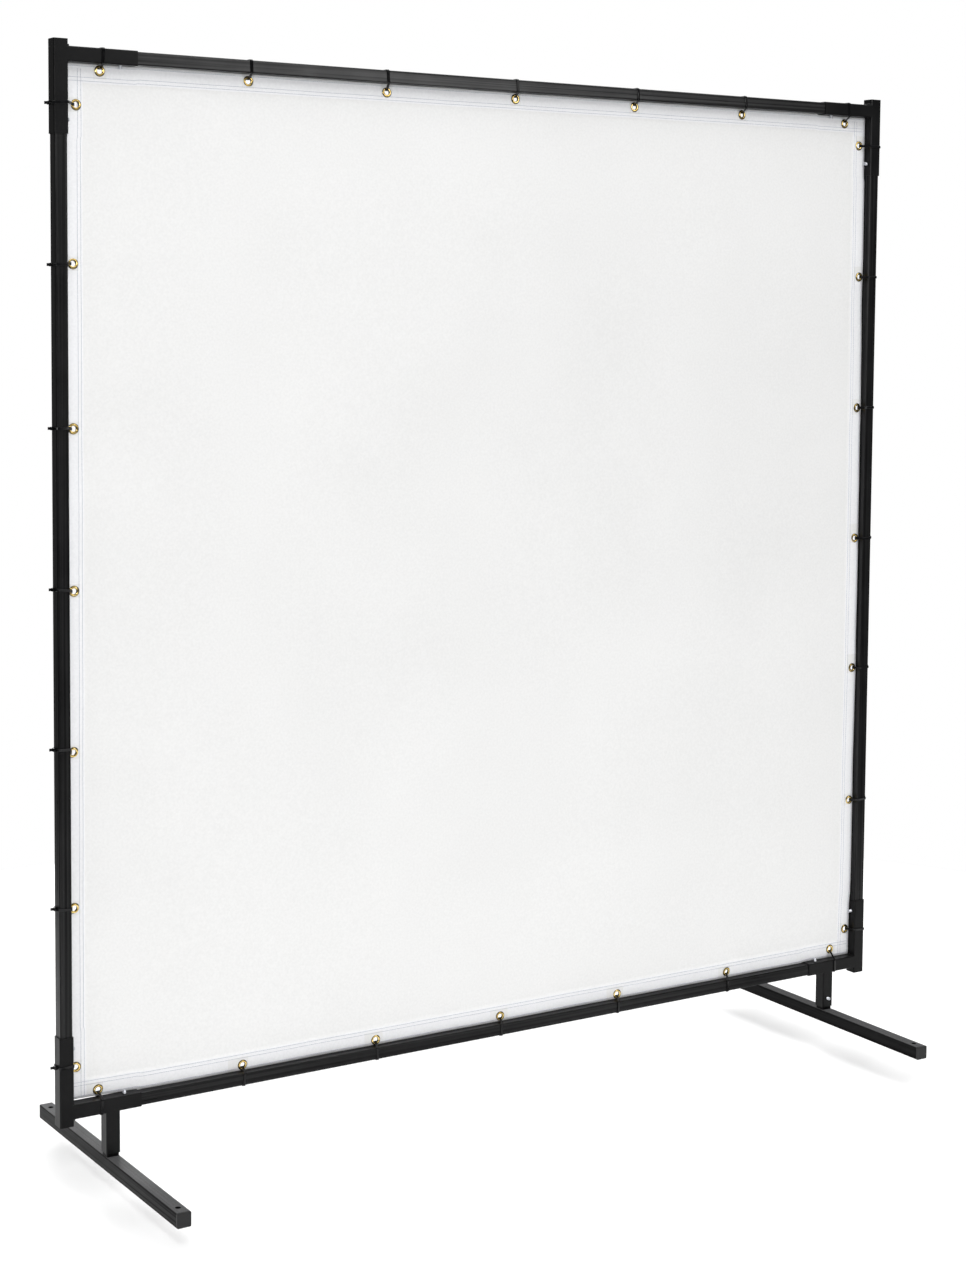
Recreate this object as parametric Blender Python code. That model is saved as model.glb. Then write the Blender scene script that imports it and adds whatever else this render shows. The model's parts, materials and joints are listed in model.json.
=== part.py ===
"""Free-standing welding curtain screen: a knock-down frame of square steel tube on two cross feet,
with a hemmed curtain tied inside it by cable ties through brass grommets.

World frame: metres, +Z up, X along the screen, front towards -Y. The origin lies on the floor
under the middle of the screen.
"""
import math

import bmesh
import bpy
from mathutils import Vector

# Screen
SCREEN_WIDTH = 1.800        # outer face to outer face of the corner fittings
SCREEN_HEIGHT = 1.829       # lower sleeve end to upper sleeve end
GROUND_CLEARANCE = 0.0925   # floor to the lower sleeve end

# Square tube
SLEEVE_SIZE = 0.0254        # outer tube: fittings, legs and feet
WALL = 0.0012
SLIP_CLEARANCE = 0.0004     # a side, between the outer tube and the inner one
CORNER_RADIUS = 0.0022      # outer corner of the outer tube
CORNER_STEPS = 3
HOLE_STEPS = 16

# Corner fittings
SLEEVE_LENGTH = 0.155
ARM_REACH = 0.1235          # arm beyond the sleeve's inner face
SLEEVE_OVERHANG = 0.0115    # sleeve end beyond the arm's outer face
WELD_LEG = 0.004
WELD_STEPS = 4
LEG_INSET = 0.0585          # sleeve's inner face to the leg's near face
LEG_GAP = 0.0061            # leg end above the foot
UPRIGHT_END_INSET = 0.006   # upright's end inside the sleeve's end
RAIL_END_GAP = 0.0015       # rail's end to the sleeve's side

# Feet
FOOT_LENGTH = 0.597
CAP_THICKNESS = 0.003
CAP_PLUG = 0.012
CAP_PLUG_WALL = 0.0018
BOLT_HOLE = 0.0095
BOLT_HOLE_INSET = 0.024     # hole centre from the foot's end

# Set screws
SCREW_DIAMETER = 0.00635
SCREW_PROUD = 0.006         # screw beyond the tube's face
SCREW_HOLE_CLEARANCE = 0.0003
SOCKET_FLATS = 0.0032
SOCKET_DEPTH = 0.003
SLEEVE_SCREW_INSET = 0.024  # from the sleeve's open end
ARM_SCREW_INSET = 0.0265    # from the arm's open end
LEG_SCREW_INSET = 0.0175    # from the leg's open end

# Curtain
GROMMETS_PER_SIDE = 7
UPRIGHT_GROMMET_INSET = 0.0718  # rail's centre to the first grommet along an upright
LEG_TO_TIE = 0.0014         # leg's side to the first tie along a rail
CURTAIN_GAP = 0.0005        # inner tube's face to the curtain's edge
END_CURTAIN_GAP = 0.0024    # outer tube's face to the curtain's edge at a corner
GROMMET_OUTER = 0.019
GROMMET_HOLE = 0.0095
GROMMET_THICKNESS = 0.0034
GROMMET_STEPS = 12
HEM_BORDER = 0.0009         # grommet's rim to the curtain's edge
SCALLOP = 0.003             # how far the edge draws in between two grommets
SCALLOP_STEPS = 6
CURTAIN_THICKNESS = 0.0012
CURTAIN_TO_SCREW = 0.0017   # the sleeves' set screws stand in front of the curtain's edge

# Cable ties
TIE_WIDTH = 0.0048
TIE_THICKNESS = 0.0011
TIE_BEND = 0.0009           # inner radius where the tie turns through the grommet
TIE_HEAD_LENGTH = 0.007
TIE_HEAD_HEIGHT = 0.0045
TIE_TAIL = 0.0055
TIE_TAIL_SHIFT = 0.001
TIE_HEAD_EXTRA = 0.0012     # head wider than the band
TIE_STEPS = 12

# Gap between pieces that touch
TOUCH = 0.0003

# Derived places
SLEEVE_HALF = SLEEVE_SIZE / 2
BORE_HALF = SLEEVE_HALF - WALL
TUBE_HALF = BORE_HALF - SLIP_CLEARANCE  # inner tube: uprights, rails and foot stubs
BORE_RADIUS = max(CORNER_RADIUS - WALL, CORNER_RADIUS / 10)
TUBE_RADIUS = CORNER_RADIUS * TUBE_HALF / SLEEVE_HALF
FOOT_TOP = SLEEVE_SIZE
UPRIGHT_X = SCREEN_WIDTH / 2 - SLEEVE_HALF
SCREEN_BOTTOM = GROUND_CLEARANCE
SCREEN_TOP = GROUND_CLEARANCE + SCREEN_HEIGHT
RAIL_TOP_Z = SCREEN_TOP - SLEEVE_OVERHANG - SLEEVE_HALF
RAIL_BOTTOM_Z = SCREEN_BOTTOM + SLEEVE_OVERHANG + SLEEVE_HALF
SCREEN_MIDDLE_Z = (RAIL_TOP_Z + RAIL_BOTTOM_Z) / 2
ARM_END_X = UPRIGHT_X - SLEEVE_HALF - ARM_REACH
LEG_X = UPRIGHT_X - SLEEVE_HALF - LEG_INSET - SLEEVE_HALF
LEG_BOTTOM = FOOT_TOP + LEG_GAP
LEG_TOP = RAIL_BOTTOM_Z - SLEEVE_HALF
HEM_MARGIN = GROMMET_OUTER / 2 + HEM_BORDER                         # grommet centre to edge
GROMMET_OFFSET = TUBE_HALF + CURTAIN_GAP + HEM_MARGIN               # tube centre to grommet centre
END_GROMMET_OFFSET = SLEEVE_HALF + END_CURTAIN_GAP + HEM_MARGIN     # the same at a side's two ends
CURTAIN_PLANE = SCREW_DIAMETER / 2 + CURTAIN_TO_SCREW + CURTAIN_THICKNESS / 2  # y of its middle
TIE_HEAD_WIDTH = TIE_WIDTH + TIE_HEAD_EXTRA
LAST_ON_RAIL = LEG_X + SLEEVE_HALF + LEG_TO_TIE + TIE_HEAD_WIDTH / 2  # x of a rail's last grommet
LAST_ON_UPRIGHT = (RAIL_TOP_Z - RAIL_BOTTOM_Z) / 2 - UPRIGHT_GROMMET_INSET  # its height over the middle
SIDES = {"left": -1, "right": 1}
LEVELS = {"top": 1, "bottom": -1}


def clear_scene():
    for obj in list(bpy.data.objects):
        bpy.data.objects.remove(obj, do_unlink=True)


def paint(name, colour, roughness, metallic=0.0):
    """A Principled material."""
    mat = bpy.data.materials.new(name)
    mat.use_nodes = True
    shader = mat.node_tree.nodes["Principled BSDF"]
    shader.inputs["Base Color"].default_value = (*colour, 1)
    shader.inputs["Roughness"].default_value = roughness
    shader.inputs["Metallic"].default_value = metallic
    mat.diffuse_color = (*colour, 1)
    return mat


def add_object(name, bm, mat, origin=(0, 0, 0), parent=None):
    """Makes an object from geometry in world coordinates, with its own origin."""
    bmesh.ops.recalc_face_normals(bm, faces=bm.faces)
    bmesh.ops.translate(bm, verts=bm.verts, vec=-Vector(origin))
    mesh = bpy.data.meshes.new(name)
    bm.to_mesh(mesh)
    bm.free()
    if mat:
        mesh.materials.append(mat)
    obj = bpy.data.objects.new(name, mesh)
    bpy.context.collection.objects.link(obj)
    obj.location = origin
    if parent:
        obj.parent = parent
        obj.location = Vector(origin) - parent.location
    return obj


def combine(body, tools, operation):
    """Joins or cuts a body with each tool in turn, then removes the tools."""
    for tool in tools:
        modifier = body.modifiers.new(operation.title(), "BOOLEAN")
        modifier.operation = operation
        modifier.solver = "EXACT"
        modifier.object = tool
    depsgraph = bpy.context.evaluated_depsgraph_get()
    mesh = bpy.data.meshes.new_from_object(body.evaluated_get(depsgraph))
    mesh.name = body.name
    body.modifiers.clear()
    body.data = mesh
    for tool in tools:
        bpy.data.objects.remove(tool, do_unlink=True)


def axis_point(axis, along, across):
    """A point from its place along an axis and its two other coordinates, in XYZ order."""
    point = list(across)
    point.insert("XYZ".index(axis), along)
    return Vector(point)


def rounded_square(half, radius, centre=(0, 0)):
    """Outline of a square with round corners."""
    points = []
    for corner in range(4):
        start = corner * math.pi / 2
        sign = (math.cos(start + math.pi / 4), math.sin(start + math.pi / 4))
        middle = [c + math.copysign(half - radius, s) for c, s in zip(centre, sign)]
        for step in range(CORNER_STEPS + 1):
            angle = start + step * math.pi / 2 / CORNER_STEPS
            points.append((middle[0] + radius * math.cos(angle), middle[1] + radius * math.sin(angle)))
    return points


def ring(centre, radius, count, turn=0.0):
    angles = [turn + 2 * math.pi * i / count for i in range(count)]
    return [(centre[0] + radius * math.cos(a), centre[1] + radius * math.sin(a)) for a in angles]


def bridge(bm, first, last):
    """Quads between two loops of the same count."""
    for i in range(len(first)):
        bm.faces.new((first[i - 1], first[i], last[i], last[i - 1]))


def prism(axis, start, end, outline, hole=None):
    """A straight bar of the given outline, hollow if it has a hole."""
    bm = bmesh.new()
    ends = []
    for along in (start, end):
        loops = []
        for points in filter(None, (outline, hole)):
            loops.append([bm.verts.new(axis_point(axis, along, p)) for p in points])
        ends.append(loops)
    for first, last in zip(*ends):
        bridge(bm, first, last)
    for loops in ends:
        edges = [bm.edges.get((v, loop[i - 1])) for loop in loops for i, v in enumerate(loop)]
        bmesh.ops.triangle_fill(bm, edges=edges, use_beauty=True)
    return bm


def block(axis, start, end, outline):
    """A tool for joining or cutting: a plain bar without a material."""
    return add_object("tool", prism(axis, start, end, outline), None)


def square_tube(name, axis, start, end, half, radius, centre, mat):
    """A square tube with open ends."""
    inner = rounded_square(half - WALL, max(radius - WALL, radius / 10), centre)
    bm = prism(axis, start, end, rounded_square(half, radius, centre), inner)
    return add_object(name, bm, mat, axis_point(axis, (start + end) / 2, centre))


def screw_hole(axis, start, end, centre):
    radius = SCREW_DIAMETER / 2 + SCREW_HOLE_CLEARANCE
    return block(axis, start, end, ring(centre, radius, HOLE_STEPS))


def make_corner_fitting(side, level, mat):
    """A vertical sleeve with a horizontal arm welded to its inner side.
    The lower ones have a leg under the arm, which slips over the foot's stub."""
    x_sign, z_sign = SIDES[side], LEVELS[level]
    centre_x = x_sign * UPRIGHT_X
    inner_face = x_sign * (UPRIGHT_X - SLEEVE_HALF)
    arm_end = x_sign * ARM_END_X
    arm_z = RAIL_TOP_Z if level == "top" else RAIL_BOTTOM_Z
    outer_z = SCREEN_TOP if level == "top" else SCREEN_BOTTOM
    open_z = outer_z - z_sign * SLEEVE_LENGTH

    sleeve_outline = rounded_square(SLEEVE_HALF, CORNER_RADIUS, (centre_x, 0))
    arm_outline = rounded_square(SLEEVE_HALF, CORNER_RADIUS, (0, arm_z))
    name = f"corner_fitting_{level}_{side}"
    bm = prism("Z", open_z, outer_z, sleeve_outline)
    fitting = add_object(name, bm, mat, (centre_x, 0, arm_z))

    arm_outer_z = arm_z + z_sign * SLEEVE_HALF
    sink = WALL / 2
    weld = [(inner_face + x_sign * sink, arm_outer_z - z_sign * sink)]
    weld.append((inner_face + x_sign * sink, arm_outer_z + z_sign * WELD_LEG))
    for step in range(WELD_STEPS + 1):
        angle = step * math.pi / 2 / WELD_STEPS
        weld.append((inner_face - x_sign * WELD_LEG * (1 - math.cos(angle)),
                     arm_outer_z + z_sign * WELD_LEG * (1 - math.sin(angle))))
    weld.append((inner_face - x_sign * WELD_LEG, arm_outer_z - z_sign * sink))
    weld_half = SLEEVE_HALF - CORNER_RADIUS
    joined = [block("X", centre_x, arm_end, arm_outline), block("Y", -weld_half, weld_half, weld)]
    leg_x = x_sign * LEG_X
    if level == "bottom":
        leg_outline = rounded_square(SLEEVE_HALF, CORNER_RADIUS, (leg_x, 0))
        joined.append(block("Z", LEG_BOTTOM, arm_z, leg_outline))
    combine(fitting, joined, "UNION")

    past = SLEEVE_SIZE  # how far a cutter runs beyond what it cuts
    sleeve_bore = rounded_square(BORE_HALF, BORE_RADIUS, (centre_x, 0))
    arm_bore = rounded_square(BORE_HALF, BORE_RADIUS, (0, arm_z))
    cuts = [block("Z", open_z - z_sign * past, outer_z + z_sign * past, sleeve_bore)]
    cuts.append(block("X", inner_face, arm_end - x_sign * past, arm_bore))
    arm_screw_x = x_sign * (ARM_END_X + ARM_SCREW_INSET)
    cuts.append(screw_hole("Z", arm_z, arm_z - z_sign * past, (arm_screw_x, 0)))
    sleeve_screw_z = open_z + z_sign * SLEEVE_SCREW_INSET
    cuts.append(screw_hole("X", centre_x, centre_x - x_sign * past, (0, sleeve_screw_z)))
    if level == "bottom":
        leg_bore = rounded_square(BORE_HALF, BORE_RADIUS, (leg_x, 0))
        cuts.append(block("Z", LEG_BOTTOM - past, LEG_TOP, leg_bore))
        leg_screw_z = LEG_BOTTOM + LEG_SCREW_INSET
        cuts.append(screw_hole("Y", 0, -x_sign * past, (leg_x, leg_screw_z)))
    combine(fitting, cuts, "DIFFERENCE")
    return fitting


def make_foot(side, mat):
    """A square bar across the screen's line, with the stub that carries the leg."""
    x = SIDES[side] * LEG_X
    half_bar = FOOT_LENGTH / 2 - CAP_THICKNESS - TOUCH
    outline = rounded_square(SLEEVE_HALF, CORNER_RADIUS, (x, SLEEVE_HALF))
    foot = add_object(f"foot_{side}", prism("Y", -half_bar, half_bar, outline), mat, (x, 0, FOOT_TOP))
    stub_top = LEG_TOP - TOUCH
    stub_outline = rounded_square(TUBE_HALF, TUBE_RADIUS, (x, 0))
    combine(foot, [block("Z", SLEEVE_HALF, stub_top, stub_outline)], "UNION")
    bar_bore = rounded_square(BORE_HALF, BORE_RADIUS, (x, SLEEVE_HALF))
    stub_bore = rounded_square(TUBE_HALF - WALL, TUBE_RADIUS / 2, (x, 0))
    cuts = [block("Y", -FOOT_LENGTH, FOOT_LENGTH, bar_bore)]
    cuts.append(block("Z", FOOT_TOP, stub_top + SLEEVE_SIZE, stub_bore))
    for end in (-1, 1):
        hole_y = end * (FOOT_LENGTH / 2 - BOLT_HOLE_INSET)
        hole = ring((x, hole_y), BOLT_HOLE / 2, HOLE_STEPS)
        cuts.append(block("Z", -SLEEVE_SIZE, 2 * SLEEVE_SIZE, hole))
    combine(foot, cuts, "DIFFERENCE")
    return foot


def make_foot_cap(side, end_name, foot, mat):
    """A plastic cap: a plate over the tube's end and a hollow plug inside it."""
    sign = {"front": -1, "rear": 1}[end_name]
    x = SIDES[side] * LEG_X
    end = sign * FOOT_LENGTH / 2
    seat = end - sign * CAP_THICKNESS
    plug_end = seat - sign * (CAP_PLUG + TOUCH)
    centre = (x, SLEEVE_HALF)
    plate = prism("Y", end, seat, rounded_square(SLEEVE_HALF, CORNER_RADIUS, centre))
    cap = add_object(f"foot_cap_{side}_{end_name}", plate, mat, (x, end, SLEEVE_HALF), foot)
    plug_half = BORE_HALF - TOUCH
    plug = rounded_square(plug_half, BORE_RADIUS, centre)
    hollow = rounded_square(plug_half - CAP_PLUG_WALL, BORE_RADIUS, centre)
    middle = seat + sign * CAP_THICKNESS / 2
    combine(cap, [block("Y", middle, plug_end, plug)], "UNION")
    combine(cap, [block("Y", seat, plug_end - sign * CAP_PLUG, hollow)], "DIFFERENCE")
    return cap


def make_set_screw(name, face, outward, mat):
    """A socket set screw, standing out of a face, with its tip at the inner tube.
    Its origin is where its axis meets the face."""
    axis = Vector(outward)
    side_step = axis.orthogonal().normalized()
    other_step = axis.cross(side_step)
    radius = SCREW_DIAMETER / 2
    tip = -(SLEEVE_HALF - TUBE_HALF) + TOUCH
    top = SCREW_PROUD
    chamfer = SCREW_DIAMETER / 10
    count = 12
    hexagon = []
    for i in range(count):
        corner = SOCKET_FLATS / 2 / math.cos(math.pi / 6)
        hexagon.append(corner if i % 2 == 0 else SOCKET_FLATS / 2)
    levels = [(tip, [radius - chamfer] * count), (tip + chamfer, [radius] * count)]
    levels += [(top - chamfer, [radius] * count), (top, [radius - chamfer] * count)]
    levels += [(top, hexagon), (top - SOCKET_DEPTH, hexagon)]
    bm = bmesh.new()
    loops = []
    for height, radii in levels:
        loop = []
        for i, r in enumerate(radii):
            angle = 2 * math.pi * i / count
            spoke = side_step * math.cos(angle) + other_step * math.sin(angle)
            loop.append(bm.verts.new(Vector(face) + axis * height + spoke * r))
        loops.append(loop)
    for low, high in zip(loops, loops[1:]):
        bridge(bm, low, high)
    bm.faces.new(loops[0])
    bm.faces.new(loops[-1])
    return add_object(name, bm, mat, face)


def make_set_screws(mat):
    """One screw for each slip joint: sleeve on upright, arm on rail, leg on foot stub."""
    for side, x_sign in SIDES.items():
        for level, z_sign in LEVELS.items():
            arm_z = RAIL_TOP_Z if level == "top" else RAIL_BOTTOM_Z
            outer_z = SCREEN_TOP if level == "top" else SCREEN_BOTTOM
            sleeve_z = outer_z - z_sign * (SLEEVE_LENGTH - SLEEVE_SCREW_INSET)
            sleeve_face = (x_sign * (UPRIGHT_X - SLEEVE_HALF), 0, sleeve_z)
            make_set_screw(f"set_screw_sleeve_{level}_{side}", sleeve_face, (-x_sign, 0, 0), mat)
            arm_face = (x_sign * (ARM_END_X + ARM_SCREW_INSET), 0, arm_z - z_sign * SLEEVE_HALF)
            make_set_screw(f"set_screw_arm_{level}_{side}", arm_face, (0, 0, -z_sign), mat)
        leg_face = (x_sign * LEG_X, -x_sign * SLEEVE_HALF, LEG_BOTTOM + LEG_SCREW_INSET)
        make_set_screw(f"set_screw_leg_{side}", leg_face, (0, -x_sign, 0), mat)


def grommet_offset(index):
    """Distance of a side's grommet from the tube's centre line, the first one's index being 0."""
    return END_GROMMET_OFFSET if index in (0, GROMMETS_PER_SIDE - 1) else GROMMET_OFFSET


def last_grommet(side):
    return LAST_ON_RAIL if side in LEVELS else LAST_ON_UPRIGHT


def grommet_places():
    """Yields side name, number, distance along the side, and offset from the tube's centre."""
    for side in ("top", "bottom", "left", "right"):
        last = last_grommet(side)
        for index in range(GROMMETS_PER_SIDE):
            along = last * (2 * index / (GROMMETS_PER_SIDE - 1) - 1)
            yield side, index + 1, along, grommet_offset(index)


def side_point(side, along, offset):
    """X and Z of a point beside one tube: along the tube, and offset from its centre inwards."""
    if side in LEVELS:
        rail_z = RAIL_TOP_Z if side == "top" else RAIL_BOTTOM_Z
        return along, rail_z - LEVELS[side] * offset
    return SIDES[side] * (UPRIGHT_X - offset), SCREEN_MIDDLE_Z + along


def edge_offset(place):
    """Offset of the curtain's edge from the tube's centre, drawn in between the grommets.
    The place along the side is counted in grommets from the first one."""
    index = min(int(place), GROMMETS_PER_SIDE - 2)
    part = place - index
    blend = part * part * (3 - 2 * part)
    middle = grommet_offset(index) * (1 - blend) + grommet_offset(index + 1) * blend
    return middle + SCALLOP * math.sin(math.pi * part) ** 2 - HEM_MARGIN


def curtain_outline():
    """The curtain's edge, anticlockwise seen from the front, from the lower left corner."""
    half_width = UPRIGHT_X - END_GROMMET_OFFSET + HEM_MARGIN
    half_height = (RAIL_TOP_Z - RAIL_BOTTOM_Z) / 2 - END_GROMMET_OFFSET + HEM_MARGIN
    places = [step / SCALLOP_STEPS for step in range((GROMMETS_PER_SIDE - 1) * SCALLOP_STEPS + 1)]
    points = []
    for side, direction in (("bottom", 1), ("right", 1), ("top", -1), ("left", -1)):
        corner_x = half_width if side in ("right", "top") else -half_width
        corner_z = half_height if side in ("top", "left") else -half_height
        points.append((corner_x, SCREEN_MIDDLE_Z + corner_z))
        for place in places[::direction]:
            along = last_grommet(side) * (2 * place / (GROMMETS_PER_SIDE - 1) - 1)
            points.append(side_point(side, along, edge_offset(place)))
    return points


def make_curtain(mat):
    """The curtain with its grommets' rings, and a hole through each, as one closed surface:
    on each side the sheet, each ring's step and face, then the curtain's edge and the holes' walls."""
    centres = [side_point(side, along, offset) for side, _, along, offset in grommet_places()]
    turn = math.pi / GROMMET_STEPS
    bm = bmesh.new()

    def loop(outline, y):
        return [bm.verts.new((x, y, z)) for x, z in outline]

    borders, mouths = [], []
    for sign in (-1, 1):
        sheet_y = CURTAIN_PLANE + sign * CURTAIN_THICKNESS / 2
        ring_y = CURTAIN_PLANE + sign * GROMMET_THICKNESS / 2
        border = loop(curtain_outline(), sheet_y)
        steps = [loop(ring(c, GROMMET_OUTER / 2, GROMMET_STEPS, turn), sheet_y) for c in centres]
        edges = [bm.edges.new((v, each[i - 1])) for each in [border, *steps] for i, v in enumerate(each)]
        bmesh.ops.triangle_fill(bm, edges=edges, use_beauty=True)
        borders.append(border)
        mouths.append([])
        for centre, step in zip(centres, steps):
            rim = loop(ring(centre, GROMMET_OUTER / 2, GROMMET_STEPS, turn), ring_y)
            mouth = loop(ring(centre, GROMMET_HOLE / 2, GROMMET_STEPS, turn), ring_y)
            bridge(bm, step, rim)
            bridge(bm, rim, mouth)
            mouths[-1].append(mouth)
    bridge(bm, *borders)
    for front, rear in zip(*mouths):
        bridge(bm, front, rear)
    return add_object("curtain", bm, mat, (0, CURTAIN_PLANE, SCREEN_MIDDLE_Z))


def convex_outline(points):
    """Convex hull, anticlockwise."""
    points = sorted(set(points))

    def chain(sequence):
        hull = []
        for p in sequence:
            while len(hull) > 1:
                (ax, ay), (bx, by) = hull[-2:]
                if (bx - ax) * (p[1] - ay) - (by - ay) * (p[0] - ax) > 1e-12:
                    break
                hull.pop()
            hull.append(p)
        return hull[:-1]

    return chain(points) + chain(points[::-1])


def tie_outline(half, radius, apex, grow):
    """Section of a tie's loop: round the tube and out through the grommet.
    The first coordinate points inwards from the tube's centre, the second backwards."""
    corner = half - radius
    circles = [(u * corner, v * corner, radius + TOUCH + grow) for u in (-1, 1) for v in (-1, 1)]
    spread = GROMMET_THICKNESS / 2
    circles += [(apex - TIE_BEND, CURTAIN_PLANE + s * spread, TIE_BEND + grow) for s in (-1, 1)]
    half_step = math.pi / TIE_STEPS
    points = []
    for u, v, r in circles:
        corners = ring((u, v), r / math.cos(half_step), TIE_STEPS, half_step)
        points += [(round(a, 7), round(b, 7)) for a, b in corners]
    return convex_outline(points)


def tie_head_outline(half, at_back):
    """Section of the tie's head and trimmed tail, on the loop's outer or rear side."""
    low = half + TOUCH + TIE_THICKNESS * 2 / 3
    high = half + TOUCH + TIE_THICKNESS + TIE_HEAD_HEIGHT
    tail = high + TIE_TAIL
    half_head = TIE_HEAD_LENGTH / 2
    tail_low, tail_high = TIE_TAIL_SHIFT, TIE_TAIL_SHIFT + TIE_THICKNESS
    outline = [(-half_head, low), (-half_head, high), (tail_low, high), (tail_low, tail)]
    outline += [(tail_high, tail), (tail_high, high), (half_head, high), (half_head, low)]
    return outline if at_back else [(-out, along) for along, out in outline]


def make_tie(side, number, along, offset, mat):
    """A cable tie round the tube, or round the fitting's arm or sleeve near a corner."""
    at_end = number in (1, GROMMETS_PER_SIDE)
    half = SLEEVE_HALF if at_end else TUBE_HALF
    radius = CORNER_RADIUS if at_end else TUBE_RADIUS
    flat_radius = GROMMET_HOLE / 2 * math.cos(math.pi / GROMMET_STEPS)
    apex = offset - math.sqrt(flat_radius ** 2 - (TIE_WIDTH / 2 + TOUCH) ** 2)
    on_rail = side in LEVELS
    centre_x, centre_z = side_point(side, along, 0)

    def place(section):
        if on_rail:
            return [(v, centre_z - LEVELS[side] * u) for u, v in section]
        return [(centre_x - SIDES[side] * u, v) for u, v in section]

    axis, middle = ("X", centre_x) if on_rail else ("Z", centre_z)
    band_half = TIE_WIDTH / 2
    loop = prism(axis, middle - band_half, middle + band_half,
                 place(tie_outline(half, radius, apex, TIE_THICKNESS)),
                 place(tie_outline(half, radius, apex, 0)))
    tie = add_object(f"cable_tie_{side}_{number}", loop, mat, (centre_x, 0, centre_z))
    head = place(tie_head_outline(half, on_rail))
    head_ends = (middle - TIE_HEAD_WIDTH / 2, middle + TIE_HEAD_WIDTH / 2)
    combine(tie, [block(axis, *head_ends, head)], "UNION")
    return tie


def shade(obj):
    obj.data.shade_smooth()
    obj.data.set_sharp_from_angle(angle=math.radians(35))


def build():
    clear_scene()
    black = paint("black_powder_coat", (0.012, 0.012, 0.013), 0.42)
    tubes = paint("black_tube_coat", (0.014, 0.014, 0.015), 0.38)
    plastic = paint("black_plastic_cap", (0.015, 0.015, 0.016), 0.5)
    nylon = paint("black_nylon", (0.008, 0.008, 0.009), 0.3)
    zinc = paint("zinc_plated_steel", (0.62, 0.63, 0.66), 0.3, 1.0)
    cloth = paint("white_curtain", (0.86, 0.86, 0.85), 0.7)

    upright_low = SCREEN_BOTTOM + UPRIGHT_END_INSET
    upright_high = SCREEN_TOP - UPRIGHT_END_INSET
    rail_half = UPRIGHT_X - SLEEVE_HALF - RAIL_END_GAP
    for side, sign in SIDES.items():
        square_tube(f"upright_{side}", "Z", upright_low, upright_high, TUBE_HALF, TUBE_RADIUS,
                    (sign * UPRIGHT_X, 0), tubes)
    for level, z in (("top", RAIL_TOP_Z), ("bottom", RAIL_BOTTOM_Z)):
        square_tube(f"rail_{level}", "X", -rail_half, rail_half, TUBE_HALF, TUBE_RADIUS, (0, z), tubes)
    for side in SIDES:
        for level in LEVELS:
            make_corner_fitting(side, level, black)
        foot = make_foot(side, black)
        for end_name in ("front", "rear"):
            make_foot_cap(side, end_name, foot, plastic)
    make_set_screws(zinc)
    make_curtain(cloth)
    for side, number, along, offset in grommet_places():
        make_tie(side, number, along, offset, nylon)
    for obj in bpy.data.objects:
        shade(obj)


build()
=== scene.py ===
import json
import math
import random

import bmesh
import bpy
from mathutils import Matrix, Vector, noise


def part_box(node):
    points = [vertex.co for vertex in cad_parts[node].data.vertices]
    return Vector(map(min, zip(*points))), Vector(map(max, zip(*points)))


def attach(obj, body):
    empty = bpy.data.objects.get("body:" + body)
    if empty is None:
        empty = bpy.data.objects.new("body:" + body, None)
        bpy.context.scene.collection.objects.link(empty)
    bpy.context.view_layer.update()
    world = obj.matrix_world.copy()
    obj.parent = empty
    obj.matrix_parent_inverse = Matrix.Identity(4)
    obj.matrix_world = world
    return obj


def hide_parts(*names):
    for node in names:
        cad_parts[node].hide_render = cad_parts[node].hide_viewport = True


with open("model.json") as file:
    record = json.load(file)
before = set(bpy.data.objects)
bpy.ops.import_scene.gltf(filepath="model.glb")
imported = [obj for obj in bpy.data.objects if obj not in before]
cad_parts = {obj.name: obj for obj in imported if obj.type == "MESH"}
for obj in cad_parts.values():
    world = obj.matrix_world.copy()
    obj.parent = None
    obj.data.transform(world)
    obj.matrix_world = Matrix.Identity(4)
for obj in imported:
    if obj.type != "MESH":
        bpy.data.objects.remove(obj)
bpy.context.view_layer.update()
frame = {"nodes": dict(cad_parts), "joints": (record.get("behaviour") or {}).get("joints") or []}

NODES = frame["nodes"]
SIDES = {"left": -1, "right": 1}
LEVELS = {"top": 1, "bottom": -1}
EDGES = (*LEVELS, *SIDES)
TIES_ON_EDGE = 7
FACES = {"front": -1, "rear": 1}
MM = 0.001

# Camera
CAMERA_PLACE = (-2.3236, -3.5877, 1.4819)
CAMERA_YAW = 32.78        # degrees from +Y towards +X
CAMERA_PITCH = -4.36
CAMERA_ROLL = 0.49
CAMERA_LENS = 64.74
CAMERA_SHIFT = (-0.0147, -0.1181)

# Light: the surround's strength, and each soft box with its place, target, size and power
SURROUND = 0.15
LIGHTS = (
    ("overhead", (0, -0.3, 5.0), (0, -0.3, 0), (9, 9), 630),
    ("key", (-1.9, -2.6, 2.0), (0.0, 0, 1.3), (0.5, 0.5), 27),
    ("rail_panel", (1.8, -3.6, 2.35), (0.3, 0, 1.7), (1.7, 1.1), 32),
    ("rear_panel", (0.6, 4.6, 2.6), (0, 0, 1.0), (2.6, 2.0), 60),
)
FLOOR_RADIUS = 2.3
FLOOR_CLEARANCE = 0.002   # under the feet when they are drawn down out of the legs

# Curtain, in metres of cloth laid flat
HEM_WIDTH = 0.0315
CLOTH_HALF = 0.00035      # half the thickness of one layer
HEM_HALF = 0.0008         # from the cloth's middle to the folded hem's face
FOLD_LIFT = {"front": 0, "rear": 0.0004}  # and how much further on the side that it is folded to
EDGE_ROUND = 0.0005       # distance from the edge over which HEM_HALF is reached
EDGE_PINCH = 0.25         # share of HEM_HALF at the very edge
EDGE_GAP = 0.00025        # tube's side to the cloth's edge
SCALLOP = 0.0003          # how far the edge draws in between two grommets
SLEEVE_FADE = 0.009       # length over which the edge follows the step from sleeve to tube

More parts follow.
